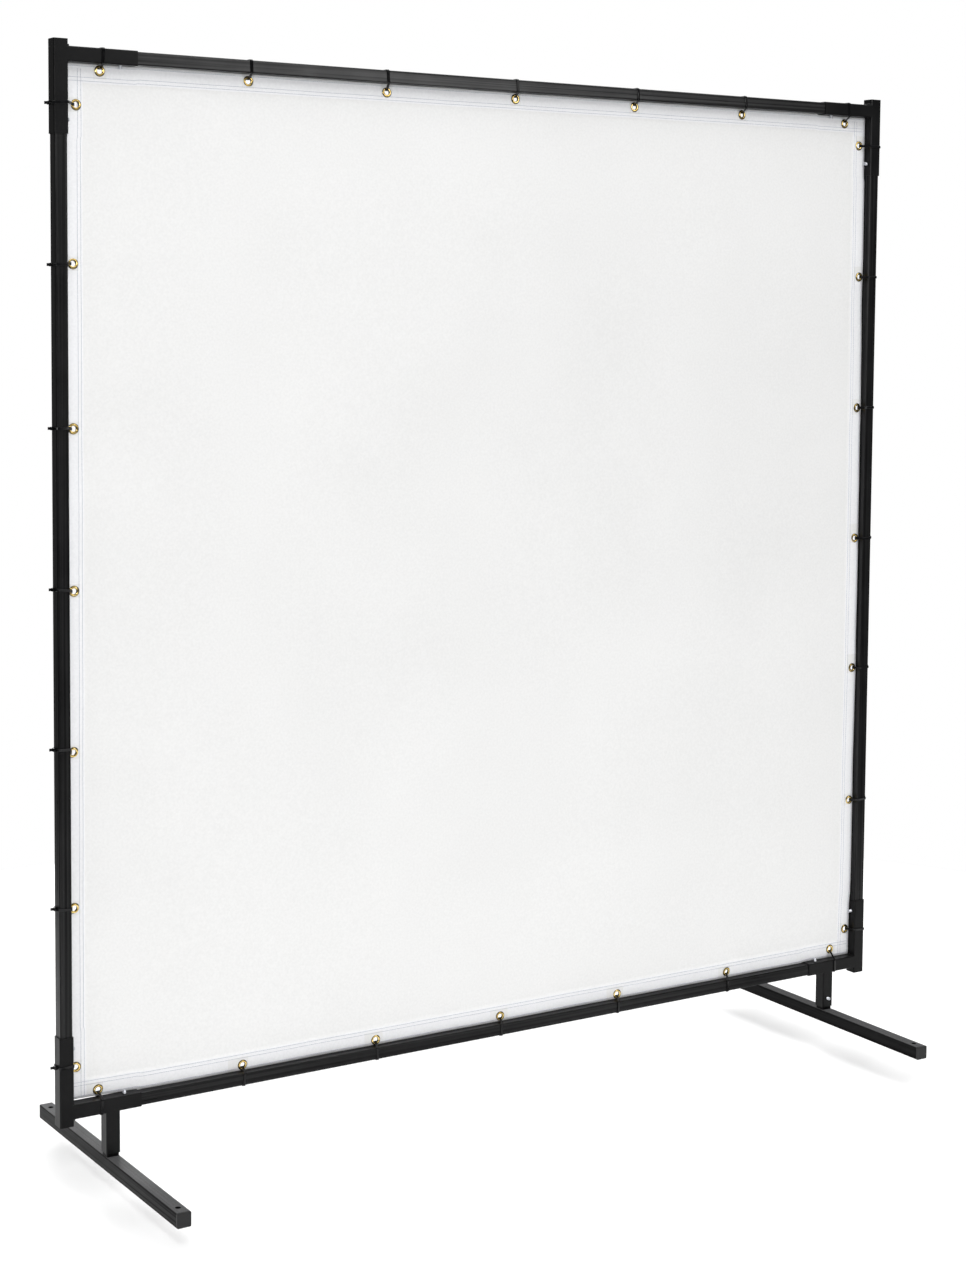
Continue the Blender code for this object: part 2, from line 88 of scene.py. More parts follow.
# The grid of the cloth's skin
HOLE_RADIUS = 0.0065      # hole in the cloth under a grommet
HOLE_PATCH = 0.01185      # half the square of cloth round a hole
HOLE_PATCH_DEPTH = 0.01235  # its middle from the cloth's edge
PATCH_CELLS = 2           # grid cells from the middle of that square to its side
FOLD_STEP = 0.0008        # to the grid lines on each side of the hem's inner edge
FOLD_RUN_OUT = 0.006      # from that edge to the next line
LARGEST_CELL = 0.014
GRID_DIGITS = 6           # lines that agree to so many decimals are one

# How the stretched cloth lies
PULL_REACH = 0.11         # how far inwards the shifts of an edge die out
PULL_POWER = 1.5
CALM_BORDER = 0.25        # width of the border where the billow grows to its full height
BILLOW = 0.010
RIPPLE = 0.0022
FLUTTER = 0.0016          # height of the hem's short waves
FLUTTER_REACH = 0.07
FLUTTER_RATE = 9.0

# Stitching
STITCH_LINES = (0.0042, 0.0225, 0.0285)  # from the cloth's edge
STITCH_PITCH = 0.0042
STITCH_WAVER = 0.00012
STITCH_END = 0.004        # from the cloth's corner to the end of a line
# A stitch's points: share of the pitch, and height over the cloth in thread radii
STITCH_POINTS = ((0.0, -0.9), (0.16, 0.25), (0.5, 0.62), (0.84, 0.25))
THREAD_RADIUS = 0.00038
THREAD_SIDES = 5

# Grommets
GROMMET_FROM_EDGE = 0.0104
GROMMET_RADIUS = 0.0095
GROMMET_BORE = 0.00475    # radius of its hole
GROMMET_STEPS = 36        # sections round it
BORE_SHADE = 0.0005     # width of the ring of painted shade at the bore, and of the one at the rim
RIM_SHADE = 0.0014
GROMMET_TILT = 5          # degrees, at most
# Grommets aren't punched quite evenly, nor are the ties drawn up square to them. For each grommet, from
# the left or from below, in mm: how far it lies further in than the even line, how far the lacing draws
# it back, how far it lies along the side from its even place, and the same for its tie
SET_IN = {
    "top": (0, 2, 4.5, 1, 1, 1.5, 4),
    "bottom": (0, -0.8, -0.8, -0.8, -0.8, 2, 7),
    "left": (2.5, 2.5, 1.5, 3, 3.5, 4, 9),
    "right": (1, 0, 0, 0, 0, 0, 6),
}
DRAWN_BACK = {
    "top": (0, 1, 1, 0, 0, 0, 1),
    "bottom": (1, 0, 0, 0, 0, 1, 2),
    "left": (8, 7, 4, 1, 0, 0, 0),
    "right": (0, 0, -2, -2, -1, 1, 1),
}
GROMMET_SLIP = {
    "top": (8, 9, 11.5, 13, 12, 3, -2),
    "bottom": (-1, -2, -3.5, -4, -2.5, -1, 2.5),
    "left": (-2.5, 1.5, -2.5, -1, -0.5, 1.5, -9.5),
    "right": (-3.5, 0, 8.5, 8.5, 7.5, 5.5, 1.5),
}
TIE_SLIP = {
    "top": (7, 7.5, 5, 7.5, 10, 0, -5),
    "bottom": (-3.5, -6, -8.5, -10, -10, -10, 0),
    "left": (8.5, 7, 7, 3.5, 1.5, 0, -8),
    "right": (-4, 2, 8.5, 8.5, 8.5, 5, 0),
}

# Cable ties
TIE_HALF_WIDTH = 0.0024
TIE_THICKNESS = 0.0011
TIE_EDGE = 0.00028        # bevel of the band's edges
TIE_CLEARANCE = 0.0003    # tube to band
TIE_BEND = 0.0026         # radius of the band's middle where it turns in the grommet
TIE_LEAN = 0.0012         # how far a tie runs askew round the tube, at most
SLEEVE_CORNER = 0.0022    # outer radius of a sleeve's corners, and of a tube's
TUBE_CORNER = 0.0019
BORE_ROOM = 0.0002        # band's edge to the grommet's bore
BEND_STEPS = 7
TWIST = 0.17              # how far one edge of the band stands off the tube's front, as a share of its width
TWISTED_ONE_WAY = 4       # ties up to this number stand off with their right or upper edge, then the other
HEAD_HALF = 0.0035        # of the ratchet head, across
HEAD_HEIGHT = 0.0045      # above the band
HEAD_WALL = 0.0006        # from the band's edge to the head's side
HEAD_BEVEL = 0.0006
STEP_ACROSS = (-0.0026, 0.0008)  # the low step on the head's end, across the head
STEP_INSET = 0.0009       # from the head's side
STEP_SUNK = 0.0004        # into the head
STEP_HEIGHT = 0.0005      # above it
STEP_BEVEL = 0.0002
TAIL_PLACE = 0.001        # across the head
TAIL_BEVEL = 0.00025
TAIL_LENGTH = 0.0055      # out of the head, before it is trimmed up to TAIL_TRIM shorter
TAIL_TRIM = 0.0012
TAIL_TILT = 0.12          # how far it leans, to its length, at most

# Set screws: 1/4 in with 20 threads to the inch
SCREW_RADIUS = 0.003175
SCREW_PITCH = 0.00127
THREAD_DEPTH = 0.00055
SCREW_CHAMFER = 0.0007
SCREW_AROUND = 24         # points round the screw, and rings in a turn of its thread
SCREW_RINGS = 8
SOCKET_HALF = 0.0016      # of the hexagon, across its flats
SOCKET_DEPTH = 0.003
SOCKET_LIP = 0.0003       # depth of the countersink
SOCKET_MOUTH = 1.16       # its size, to the hexagon's

# Weld beads
OUTER_BEAD = 0.0021       # radius of the bead on an arm's outer side, and of every other bead
INNER_BEAD = 0.0015
BEAD_SHORT = 0.0025       # from a bead's end to the tube's side
BEAD_OUT = 0.0012         # how far the outer bead's root lies off its corner
BEAD_RIPPLE = 0.0014      # pitch of its ripples
BEAD_RUN_IN = 0.07        # share of its length over which it grows to its full size
BEAD_OVERLAP = 0.35       # angle by which it runs on past each face, in radians
BEAD_STEPS = 44           # along it, and round it
BEAD_POINTS = 8


# ---------------------------------------------------------------- places, read from the frame

def box_middle(node):
    low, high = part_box(node)
    return (low + high) / 2


def half_width(node, axis):
    low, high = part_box(node)
    return (high[axis] - low[axis]) / 2


CURTAIN_Y = box_middle("curtain").y
UPRIGHT_X = box_middle("upright_right").x
RAIL_Z = {level: box_middle(f"rail_{level}").z for level in LEVELS}
TUBE_HALF = half_width("rail_top", 2)
SLEEVE_HALF = half_width("foot_cap_left_front", 0)  # a foot's cap is as wide as a sleeve


# ---------------------------------------------------------------- mesh helpers

def new_object(name, bm, mats, smooth_angle):
    """Turns a finished bmesh into an object, sharp where its faces meet at more than an angle."""
    bmesh.ops.recalc_face_normals(bm, faces=bm.faces)
    mesh = bpy.data.meshes.new(name)
    bm.to_mesh(mesh)
    bm.free()
    for mat in mats:
        mesh.materials.append(mat)
    mesh.shade_smooth()
    mesh.set_sharp_from_angle(angle=math.radians(smooth_angle))
    obj = bpy.data.objects.new(name, mesh)
    bpy.context.scene.collection.objects.link(obj)
    return obj


def bridge(bm, first, last):
    """Quads between two closed rings of vertices of the same count."""
    for i in range(len(first)):
        bm.faces.new((first[i - 1], first[i], last[i], last[i - 1]))


def sweep(bm, rows, closed):
    """Joins closed rings of points one after another. The last joins the first, or both ends get a face."""
    loops = [[bm.verts.new(p) for p in row] for row in rows]
    for a, b in zip(loops, loops[1:]):
        bridge(bm, a, b)
    if closed:
        bridge(bm, loops[-1], loops[0])
    else:
        bm.faces.new(loops[0])
        bm.faces.new(loops[-1])


def half_round(middle, base, reach, rise, steps):
    """Points of half an ellipse from middle + reach to middle - reach, over a base."""
    angles = [math.pi * step / steps for step in range(steps + 1)]
    return [(middle + reach * math.cos(a), base + rise * math.sin(a)) for a in angles]


def smooth_step(value):
    """Rises smoothly from 0 to 1 as the value does, and stays there."""
    value = min(max(value, 0), 1)
    return value * value * (3 - 2 * value)


# ---------------------------------------------------------------- materials

class Shader:
    """A Principled material and short calls for its nodes."""

    def __init__(self, name, colour, roughness, metallic=0.0, **sockets):
        self.mat = bpy.data.materials.new(name)
        self.mat.use_nodes = True
        self.tree = self.mat.node_tree
        self.bsdf = self.tree.nodes["Principled BSDF"]
        self.bsdf.inputs["Base Color"].default_value = (*colour, 1)
        self.bsdf.inputs["Roughness"].default_value = roughness
        self.bsdf.inputs["Metallic"].default_value = metallic
        for socket, value in sockets.items():
            self.bsdf.inputs[socket.replace("_", " ")].default_value = value
        self.mat.diffuse_color = (*colour, 1)
        self.place = self.tree.nodes.new("ShaderNodeTexCoord").outputs["Object"]
        self.height = None

    def node(self, kind, **values):
        made = self.tree.nodes.new(kind)
        for key, value in values.items():
            if key in made.inputs:
                made.inputs[key].default_value = value
            else:
                setattr(made, key, value)
        return made

    def link(self, output, target):
        self.tree.links.new(output, target)

    def stretched(self, scale):
        mapping = self.node("ShaderNodeMapping")
        mapping.inputs["Scale"].default_value = scale
        self.link(self.place, mapping.inputs["Vector"])
        return mapping.outputs["Vector"]

    def noise(self, scale, detail=2.0, vector=None, roughness=0.5):
        made = self.node("ShaderNodeTexNoise", Scale=scale, Detail=detail, Roughness=roughness)
        self.link(vector or self.place, made.inputs["Vector"])
        return made.outputs["Fac"]

    def spread(self, value, low, high, start=0.3, end=0.7):
        """Maps a texture's value from start..end to low..high."""
        made = self.node("ShaderNodeMapRange")
        for key, number in (("From Min", start), ("From Max", end), ("To Min", low), ("To Max", high)):
            made.inputs[key].default_value = number
        self.link(value, made.inputs["Value"])
        return made.outputs["Result"]

    def math(self, operation, first, second):
        made = self.node("ShaderNodeMath", operation=operation)
        for i, value in enumerate((first, second)):
            if isinstance(value, (int, float)):
                made.inputs[i].default_value = value
            else:
                self.link(value, made.inputs[i])
        return made.outputs["Value"]

    def colours(self, value, stops):
        ramp = self.node("ShaderNodeValToRGB")
        elements = ramp.color_ramp.elements
        while len(elements) < len(stops):
            elements.new(0.5)
        for element, (place, colour) in zip(elements, stops):
            element.position = place
            element.color = (*colour, 1)
        self.link(value, ramp.inputs["Fac"])
        return ramp.outputs["Color"]

    def set(self, socket, output):
        self.link(output, self.bsdf.inputs[socket])

    def bump(self, height, distance, strength=1.0):
        """Adds a bump over any earlier one."""
        made = self.node("ShaderNodeBump", Strength=strength, Distance=distance)
        self.link(height, made.inputs["Height"])
        if self.height:
            self.link(self.height, made.inputs["Normal"])
        self.height = made.outputs["Normal"]
        self.set("Normal", self.height)


def powder_coat(name, along, gloss=0.12, dust_and_sheen=0.0):
    """Satin black powder coat on drawn tube: orange peel, faint draw lines along one axis or none, and
    pale dust of a given brightness on the faces that look up, which also paints the sheen of light on those
    tops."""
    coat = Shader(name, (0.007, 0.007, 0.0075), 0.36, Specular_IOR_Level=gloss)
    cloud = coat.noise(9, 4.0, roughness=0.6)
    specks = coat.noise(1500, 1.0)
    tone = coat.math("ADD", coat.spread(cloud, 0.0, 0.6), coat.spread(specks, 0.0, 0.4, 0.55, 0.8))
    bare = coat.colours(tone, [(0.0, (0.003, 0.003, 0.0032)), (1.0, (0.008, 0.008, 0.0084))])
    # Lighter on the faces that look up: partly dust, partly a painted sheen where the top light falls
    if dust_and_sheen:
        geometry = coat.node("ShaderNodeNewGeometry")
        parts = coat.node("ShaderNodeSeparateXYZ")
        coat.link(geometry.outputs["Normal"], parts.inputs["Vector"])
        dust_and_sheen_mask = coat.math("MULTIPLY", coat.spread(parts.outputs["Z"], 0.0, 1.0, 0.6, 0.95),
                            coat.spread(specks, 0.35, 1.0, 0.35, 0.65))
        mix = coat.node("ShaderNodeMixRGB")
        mix.inputs["Color2"].default_value = (dust_and_sheen, dust_and_sheen, dust_and_sheen * 1.02, 1)
        coat.link(dust_and_sheen_mask, mix.inputs["Fac"])
        coat.link(bare, mix.inputs["Color1"])
        bare = mix.outputs["Color"]
    coat.set("Base Color", bare)
    rough = coat.spread(cloud, 0.28, 0.4)
    coat.bump(coat.noise(620, 2.0), 0.00012, 0.55)
    if along:
        lines = coat.noise(1.0, 3.0, coat.stretched([1.5 if axis == along else 260 for axis in "XYZ"]))
        rough = coat.math("ADD", rough, coat.spread(lines, -0.06, 0.06))
        coat.set("Specular IOR Level", coat.spread(lines, gloss * 0.4, gloss * 2.0, 0.36, 0.64))
        coat.bump(lines, 0.00010, 0.35)
    coat.set("Roughness", rough)
    return coat.mat


def cap_plastic():
    """Moulded polyethylene with a fine matt grain."""
    cap = Shader("black_cap_plastic", (0.009, 0.009, 0.0095), 0.5, Specular_IOR_Level=0.3)
    cloud = cap.noise(40, 3.0)
    tones = [(0.3, (0.007, 0.007, 0.0075)), (0.75, (0.014, 0.014, 0.0145))]
    cap.set("Base Color", cap.colours(cloud, tones))
    cap.set("Roughness", cap.spread(cloud, 0.42, 0.6))
    cap.bump(cap.noise(2200, 2.0), 0.00006, 0.6)
    return cap.mat


def tie_nylon():
    """Smooth moulded nylon."""
    nylon = Shader("black_nylon", (0.003, 0.003, 0.0034), 0.16, Specular_IOR_Level=0.22)
    cloud = nylon.noise(120, 3.0)
    tones = [(0.3, (0.002, 0.002, 0.0024)), (0.8, (0.006, 0.006, 0.0065))]
    nylon.set("Base Color", nylon.colours(cloud, tones))
    nylon.set("Roughness", nylon.spread(cloud, 0.12, 0.22))
    nylon.bump(nylon.noise(900, 2.0), 0.00004, 0.4)
    return nylon.mat


def zinc_plate():
    """Bright zinc over turned steel, a little blue."""
    zinc = Shader("zinc_plate", (0.62, 0.63, 0.66), 0.3, 1.0)
    cloud = zinc.noise(260, 4.0)
    zinc.set("Base Color", zinc.colours(cloud, [(0.3, (0.46, 0.47, 0.5)), (0.7, (0.72, 0.74, 0.78))]))
    zinc.set("Roughness", zinc.spread(cloud, 0.2, 0.42))
    zinc.bump(zinc.noise(3000, 2.0), 0.00002, 0.5)
    return zinc.mat


def weld_metal():
    """Weld bead under the same powder coat, a little rougher."""
    bead = Shader("coated_weld", (0.007, 0.007, 0.0075), 0.4, Specular_IOR_Level=0.22)
    cloud = bead.noise(300, 4.0)
    tones = [(0.3, (0.005, 0.005, 0.0055)), (0.8, (0.012, 0.012, 0.0125))]
    bead.set("Base Color", bead.colours(cloud, tones))
    bead.set("Roughness", bead.spread(cloud, 0.34, 0.5))
    bead.bump(bead.noise(900, 3.0), 0.0001, 0.5)
    return bead.mat


def brass(name, brightness=1.0):
    """Rolled brass with soft clouding, darkened as painted shade if its brightness is low."""
    tones = [tuple(c * brightness for c in tone) for tone in
             ((0.40, 0.26, 0.07), (0.76, 0.56, 0.20), (0.90, 0.74, 0.36))]
    metal = Shader(name, tones[1], 0.2, 1.0)
    cloud = metal.noise(170, 4.0, roughness=0.6)
    metal.set("Base Color", metal.colours(cloud, list(zip((0.25, 0.5, 0.8), tones))))
    metal.set("Roughness", metal.spread(cloud, 0.26, 0.1))
    metal.bump(metal.noise(2500, 2.0), 0.00002, 0.4)
    return metal.mat


def cloth(name, dark, light):
    """Coated white cloth: a plain weave showing through the coat, and soft clouding."""
    fabric = Shader(name, light, 0.62, Sheen_Weight=0.08)
    weave = []
    for axis in "XZ":
        wave = fabric.node("ShaderNodeTexWave", wave_type="BANDS", bands_direction=axis,
                           Scale=170.0, Distortion=0.6, Detail=1.0)
        fabric.link(fabric.place, wave.inputs["Vector"])
        weave.append(wave.outputs["Fac"])
    threads = fabric.math("MULTIPLY", *weave)
    grain = fabric.noise(230, 3.0)
    cloud = fabric.noise(3.2, 4.0)
    tone = fabric.math("ADD", fabric.spread(grain, 0.0, 0.62), fabric.spread(cloud, 0.0, 0.38))
    fabric.set("Base Color", fabric.colours(tone, [(0.1, dark), (0.9, light)]))
    fabric.set("Roughness", fabric.spread(cloud, 0.52, 0.68))
    fabric.bump(threads, 0.00012, 0.5)
    fabric.bump(grain, 0.0002, 0.35)
    return fabric.mat


def thread_yarn():
    """Twisted sewing thread, greyer than the cloth."""
    yarn = Shader("sewing_thread", (0.42, 0.44, 0.5), 0.7)
    fibre = yarn.noise(1800, 2.0)
    yarn.set("Base Color", yarn.colours(fibre, [(0.3, (0.34, 0.36, 0.42)), (0.7, (0.5, 0.52, 0.58))]))
    yarn.bump(fibre, 0.0001, 0.5)
    return yarn.mat


# ---------------------------------------------------------------- curtain

class Cloth:
    """Where each point of the flat cloth lies on the frame.
    Flat coordinates run along X and Z from the cloth's middle."""

    def __init__(self):
        inset = SLEEVE_HALF + EDGE_GAP
        self.half = (UPRIGHT_X - inset, (RAIL_Z["top"] - RAIL_Z["bottom"]) / 2 - inset)
        self.middle = Vector((0, CURTAIN_Y, (RAIL_Z["top"] + RAIL_Z["bottom"]) / 2))
        self.bare = {side: self.between_sleeves(side) for side in EDGES}
        self.stations = {side: self.grommets_along(side) for side in EDGES}

    def grommets_along(self, side):
        """Places of a side's grommets along it."""
        axis = 0 if side in LEVELS else 2
        ties = [box_middle(f"cable_tie_{side}_{n}")[axis] for n in range(1, TIES_ON_EDGE + 1)]
        return [tie - self.middle[axis] + slip * MM for tie, slip in zip(ties, GROMMET_SLIP[side])]

    def along_side(self, side, along, values):
        """A smooth curve through the values at a side's grommets."""
        stops = self.stations[side]
        if along <= stops[0]:
            return values[0]
        if along >= stops[-1]:
            return values[-1]
        index = max(i for i, s in enumerate(stops[:-1]) if s <= along)
        blend = smooth_step((along - stops[index]) / (stops[index + 1] - stops[index]))
        return values[index] * (1 - blend) + values[index + 1] * blend

    def between_sleeves(self, side):
        """Where the bare tube begins and ends along a side."""
        if side in LEVELS:
            return (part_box(f"corner_fitting_{side}_left")[1].x - self.middle.x,
                    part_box(f"corner_fitting_{side}_right")[0].x - self.middle.x)
        return (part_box(f"corner_fitting_bottom_{side}")[1].z - self.middle.z,
                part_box(f"corner_fitting_top_{side}")[0].z - self.middle.z)

    def edge_shift(self, side, along):
        """Inward shift of the cloth's edge from its straight line through the corners."""
        stops = self.stations[side]
        low, high = self.bare[side]
        past_sleeve = min(along - low, high - along) / SLEEVE_FADE
        shift = (TUBE_HALF - SLEEVE_HALF) * smooth_step(past_sleeve)
        pitch = (stops[-1] - stops[0]) / (len(stops) - 1)
        place = (along - stops[0]) / pitch
        if 0 < place < len(stops) - 1:
            shift += SCALLOP * math.sin(math.pi * (place % 1)) ** 2
        return shift

    def back_shift(self, side, along):
        return self.along_side(side, along, [d * MM for d in DRAWN_BACK[side]])

    def edges_from(self, x, z):
        """Each side with a flat point's distance from it and place along it."""
        half_x, half_z = self.half
        return (("left", half_x + x, z), ("right", half_x - x, z),
                ("bottom", half_z + z, x), ("top", half_z - z, x))

    def place(self, x, z):
        """World place of a flat point, on the middle of the cloth's thickness."""
        moved_x, moved_z, back = x, z, 0.0
        for side, away, along in self.edges_from(x, z):
            fade = math.exp(-(max(away, 0) / PULL_REACH) ** PULL_POWER)
            shift = self.edge_shift(side, along) * fade
            if side in LEVELS:
                moved_z -= LEVELS[side] * shift
            else:
                moved_x -= SIDES[side] * shift
            back += self.back_shift(side, along) * fade
        free = smooth_step(self.depth(x, z) / CALM_BORDER)
        billow = noise.noise(Vector((x * 1.1 + 3.1, z * 1.3, 0.7))) * BILLOW
        ripple = noise.noise(Vector((x * 4.2, z * 3.1 + 8.0, 2.4))) * RIPPLE
        return self.middle + Vector((moved_x, back + free * (billow + ripple) + self.flutter(x, z), moved_z))

    def flutter(self, x, z):
        """Short waves of the hem between grommets, which die out inwards."""
        total = 0.0
        for (_, away, along), seed in zip(self.edges_from(x, z), (1.0, 5.0, 9.0, 13.0)):
            fade = math.exp(-max(away, 0) / FLUTTER_REACH)
            total += fade * noise.noise(Vector((along * FLUTTER_RATE, seed, 0.3))) * FLUTTER
        return total

    def depth(self, x, z):
        """Distance of a flat point from the nearest edge."""
        return min(self.half[0] - abs(x), self.half[1] - abs(z))

    def point(self, x, z, lift):
        """A place lifted off the cloth's middle, forwards if lift is negative."""
        step = 0.002
        here = self.place(x, z)
        normal = (self.place(x, z + step) - here).cross(self.place(x + step, z) - here)
        return here + normal.normalized() * lift

    def turn(self, x, z):
        """The cloth's own axes at a flat point: along X, backwards, along Z."""
        step = 0.004
        east = (self.place(x + step, z) - self.place(x - step, z)).normalized()
        north = (self.place(x, z + step) - self.place(x, z - step)).normalized()
        back = north.cross(east).normalized()
        return Matrix((east, back, back.cross(east))).transposed()

    def grommets(self):
        """Yields side, number and the flat place of each grommet."""
        half_x, half_z = self.half
        for side, stops in self.stations.items():
            for number, (along, extra) in enumerate(zip(stops, SET_IN[side]), 1):
                depth = GROMMET_FROM_EDGE + extra * MM
                if side in LEVELS:
                    yield side, number, along, LEVELS[side] * (half_z - depth)
                else:
                    yield side, number, SIDES[side] * (half_x - depth), along


def hem_lift(face):
    """How far the hem's skin stands off the cloth's middle."""
    return HEM_HALF + FOLD_LIFT[face]


def grid_lines(half, stops):
    """Places of the cloth's grid lines: close at the hem, round each grommet and at the fold."""
    patch = [HOLE_PATCH * k / PATCH_CELLS for k in range(-PATCH_CELLS, PATCH_CELLS + 1)]
    depths = [0] + [HOLE_PATCH_DEPTH + step for step in patch]
    depths += [HEM_WIDTH - FOLD_STEP, HEM_WIDTH, HEM_WIDTH + FOLD_STEP, HEM_WIDTH + FOLD_RUN_OUT]
    lines = [sign * (half - depth) for depth in depths for sign in (-1, 1)]
    lines += [stop + step for stop in stops for step in patch]
    lines = sorted(set(round(line, GRID_DIGITS) for line in lines))
    filled = [lines[0]]
    for line in lines[1:]:
        start, gap = filled[-1], line - filled[-1]
        parts = max(1, math.ceil(gap / LARGEST_CELL))
        filled += [start + gap * i / parts for i in range(1, parts)] + [line]
    return filled


def skin_points(bm, cloth_map, xs, zs, face):
    """The grid of vertices of the cloth's front or rear skin."""
    folded_up_to = HEM_WIDTH + 10 ** -GRID_DIGITS
    grid = []
    for z in zs:
        row = []
        for x in xs:
            depth = cloth_map.depth(x, z)
            folded = depth <= folded_up_to
            pinch = min(1.0, EDGE_PINCH + depth / EDGE_ROUND * (1 - EDGE_PINCH))
            lift = (HEM_HALF if folded else CLOTH_HALF) * pinch
            if folded:
                lift += FOLD_LIFT[face]
            row.append(bm.verts.new(cloth_map.point(x, z, FACES[face] * lift)))
        grid.append(row)
    return grid


def nearest_line(lines, place):
    """Index of the grid line that lies nearest to a place."""
    return min(range(len(lines)), key=lambda i: abs(lines[i] - place))


def hole_patches(cloth_map, xs, zs):
    """For each grommet, its patch's middle column and row in the grid, and its own flat place."""
    half_x, half_z = cloth_map.half
    patches = []
    for side, _, x, z in cloth_map.grommets():
        middle_x, middle_z = x, z
        if side in LEVELS:
            middle_z = LEVELS[side] * (half_z - HOLE_PATCH_DEPTH)
        else:
            middle_x = SIDES[side] * (half_x - HOLE_PATCH_DEPTH)
        patches.append((nearest_line(xs, middle_x), nearest_line(zs, middle_z), x, z))
    return patches


def patch_border(column, row):
    """Grid places round a patch, in order."""
    left, right = column - PATCH_CELLS, column + PATCH_CELLS
    low, high = row - PATCH_CELLS, row + PATCH_CELLS
    cells = range(2 * PATCH_CELLS)
    border = [(left + k, low) for k in cells] + [(right, low + k) for k in cells]
    return border + [(right - k, high) for k in cells] + [(left, high - k) for k in cells]


def cut_hole(bm, cloth_map, skins, xs, zs, patch):
    """Fills a patch's square up to its round hole, on both faces, and lines the hole's wall."""
    column, row, hole_x, hole_z = patch
    border = patch_border(column, row)
    rims = []
    for face, grid in skins.items():
        rim = []
        for i, j in border:
            angle = math.atan2(zs[j] - hole_z, xs[i] - hole_x)
            x, z = hole_x + HOLE_RADIUS * math.cos(angle), hole_z + HOLE_RADIUS * math.sin(angle)
            rim.append(bm.verts.new(cloth_map.point(x, z, FACES[face] * hem_lift(face))))
        bridge(bm, [grid[j][i] for i, j in border], rim)
        rims.append(rim)
    bridge(bm, *rims)


def make_curtain(cloth_map, mats):
    """The cloth as a closed skin of its real thickness, doubled at the hem and holed under each grommet."""
    xs = grid_lines(cloth_map.half[0], cloth_map.stations["top"])
    zs = grid_lines(cloth_map.half[1], cloth_map.stations["left"])
    last_column, last_row = len(xs) - 1, len(zs) - 1
    patches = hole_patches(cloth_map, xs, zs)
    cells = range(-PATCH_CELLS, PATCH_CELLS)
    holes = {(column + i, row + j) for column, row, _, _ in patches for i in cells for j in cells}

    bm = bmesh.new()
    skins = {face: skin_points(bm, cloth_map, xs, zs, face) for face in FACES}
    for grid in skins.values():
        for j in range(last_row):
            for i in range(last_column):
                if (i, j) in holes:
                    continue
                cell = bm.faces.new((grid[j][i], grid[j][i + 1], grid[j + 1][i + 1], grid[j + 1][i]))
                depth = cloth_map.depth((xs[i] + xs[i + 1]) / 2, (zs[j] + zs[j + 1]) / 2)
                # Hem cells take the paler hem copy, which is partly painted light that lifts the shade under
                # the rails
                cell.material_index = 1 if depth < HEM_WIDTH else 0
    for patch in patches:
        cut_hole(bm, cloth_map, skins, xs, zs, patch)
    edge = [(i, 0) for i in range(last_column)] + [(last_column, j) for j in range(last_row)]
    edge += [(i, last_row) for i in range(last_column, 0, -1)] + [(0, j) for j in range(last_row, 0, -1)]
    bridge(bm, *([grid[j][i] for i, j in edge] for grid in skins.values()))
    if any(e.is_boundary for e in bm.edges):
        raise ValueError("the curtain's skin has an open edge")
    for v in [v for v in bm.verts if not v.link_faces]:
        bm.verts.remove(v)
    return new_object("welding_curtain", bm, mats, 60)


def stitch_row(bm, cloth_map, side, depth, face):
    """One line of lockstitch: a thread that comes up out of the cloth and goes back in."""
    half_x, half_z = cloth_map.half
    on_rail = side in LEVELS
    reach = (half_x if on_rail else half_z) - STITCH_END
    across = Vector((0, 0, 1)) if on_rail else Vector((1, 0, 0))
    out = Vector((0, FACES[face], 0))
    angles = [2 * math.pi * k / THREAD_SIDES for k in range(THREAD_SIDES)]
    spokes = [across * math.cos(a) + out * math.sin(a) for a in angles]
    rng = random.Random(f"{side}{depth}{FACES[face]}")
    rows = []
    for stitch in range(int(2 * reach / STITCH_PITCH)):
        waver = rng.uniform(-STITCH_WAVER, STITCH_WAVER)
        for part, height in STITCH_POINTS:
            along = -reach + (stitch + part) * STITCH_PITCH
            if on_rail:
                x, z = along, LEVELS[side] * (half_z - depth + waver)
            else:
                x, z = SIDES[side] * (half_x - depth + waver), along
            centre = cloth_map.place(x, z) + out * (hem_lift(face) + height * THREAD_RADIUS)
            rows.append([centre + spoke * THREAD_RADIUS for spoke in spokes])
    sweep(bm, rows, False)


def make_stitching(cloth_map, face, mat):
    bm = bmesh.new()
    for side in EDGES:
        for depth in STITCH_LINES:
            stitch_row(bm, cloth_map, side, depth, face)
    return new_object(f"hem_stitching_{face}", bm, [mat], 60)


def grommet_profile():
    """Half section of a two-part eyelet pressed together round the cloth: distance from the axis, and
    distance backwards, in mm. The front part is domed, and its barrel is rolled over the rear washer."""
    bore, rim = GROMMET_BORE / MM, GROMMET_RADIUS / MM
    front, rear = -hem_lift("front") / MM, hem_lift("rear") / MM
    crown_half, roll_half = 1.9, 1.15
    barrel = bore + 0.6
    crown = half_round(bore + crown_half, front - 0.55, -crown_half, -1.05, 8)
    skirt = [(rim - 0.25, front - 0.42), (rim, front - 0.12), (rim - 0.05, front)]
    inside = [(barrel, front + 0.05), (barrel, rear - 0.05)]
    washer = [(rim - 0.3, rear), (rim - 0.15, rear + 0.2), (rim - 0.35, rear + 0.48),
              (bore + 2.6, rear + 0.52)]
    roll = half_round(bore + 0.1 + roll_half, rear + 0.5, roll_half, 0.85, 6)
    return [(bore, 0.0)] + crown + skirt + inside + washer + roll


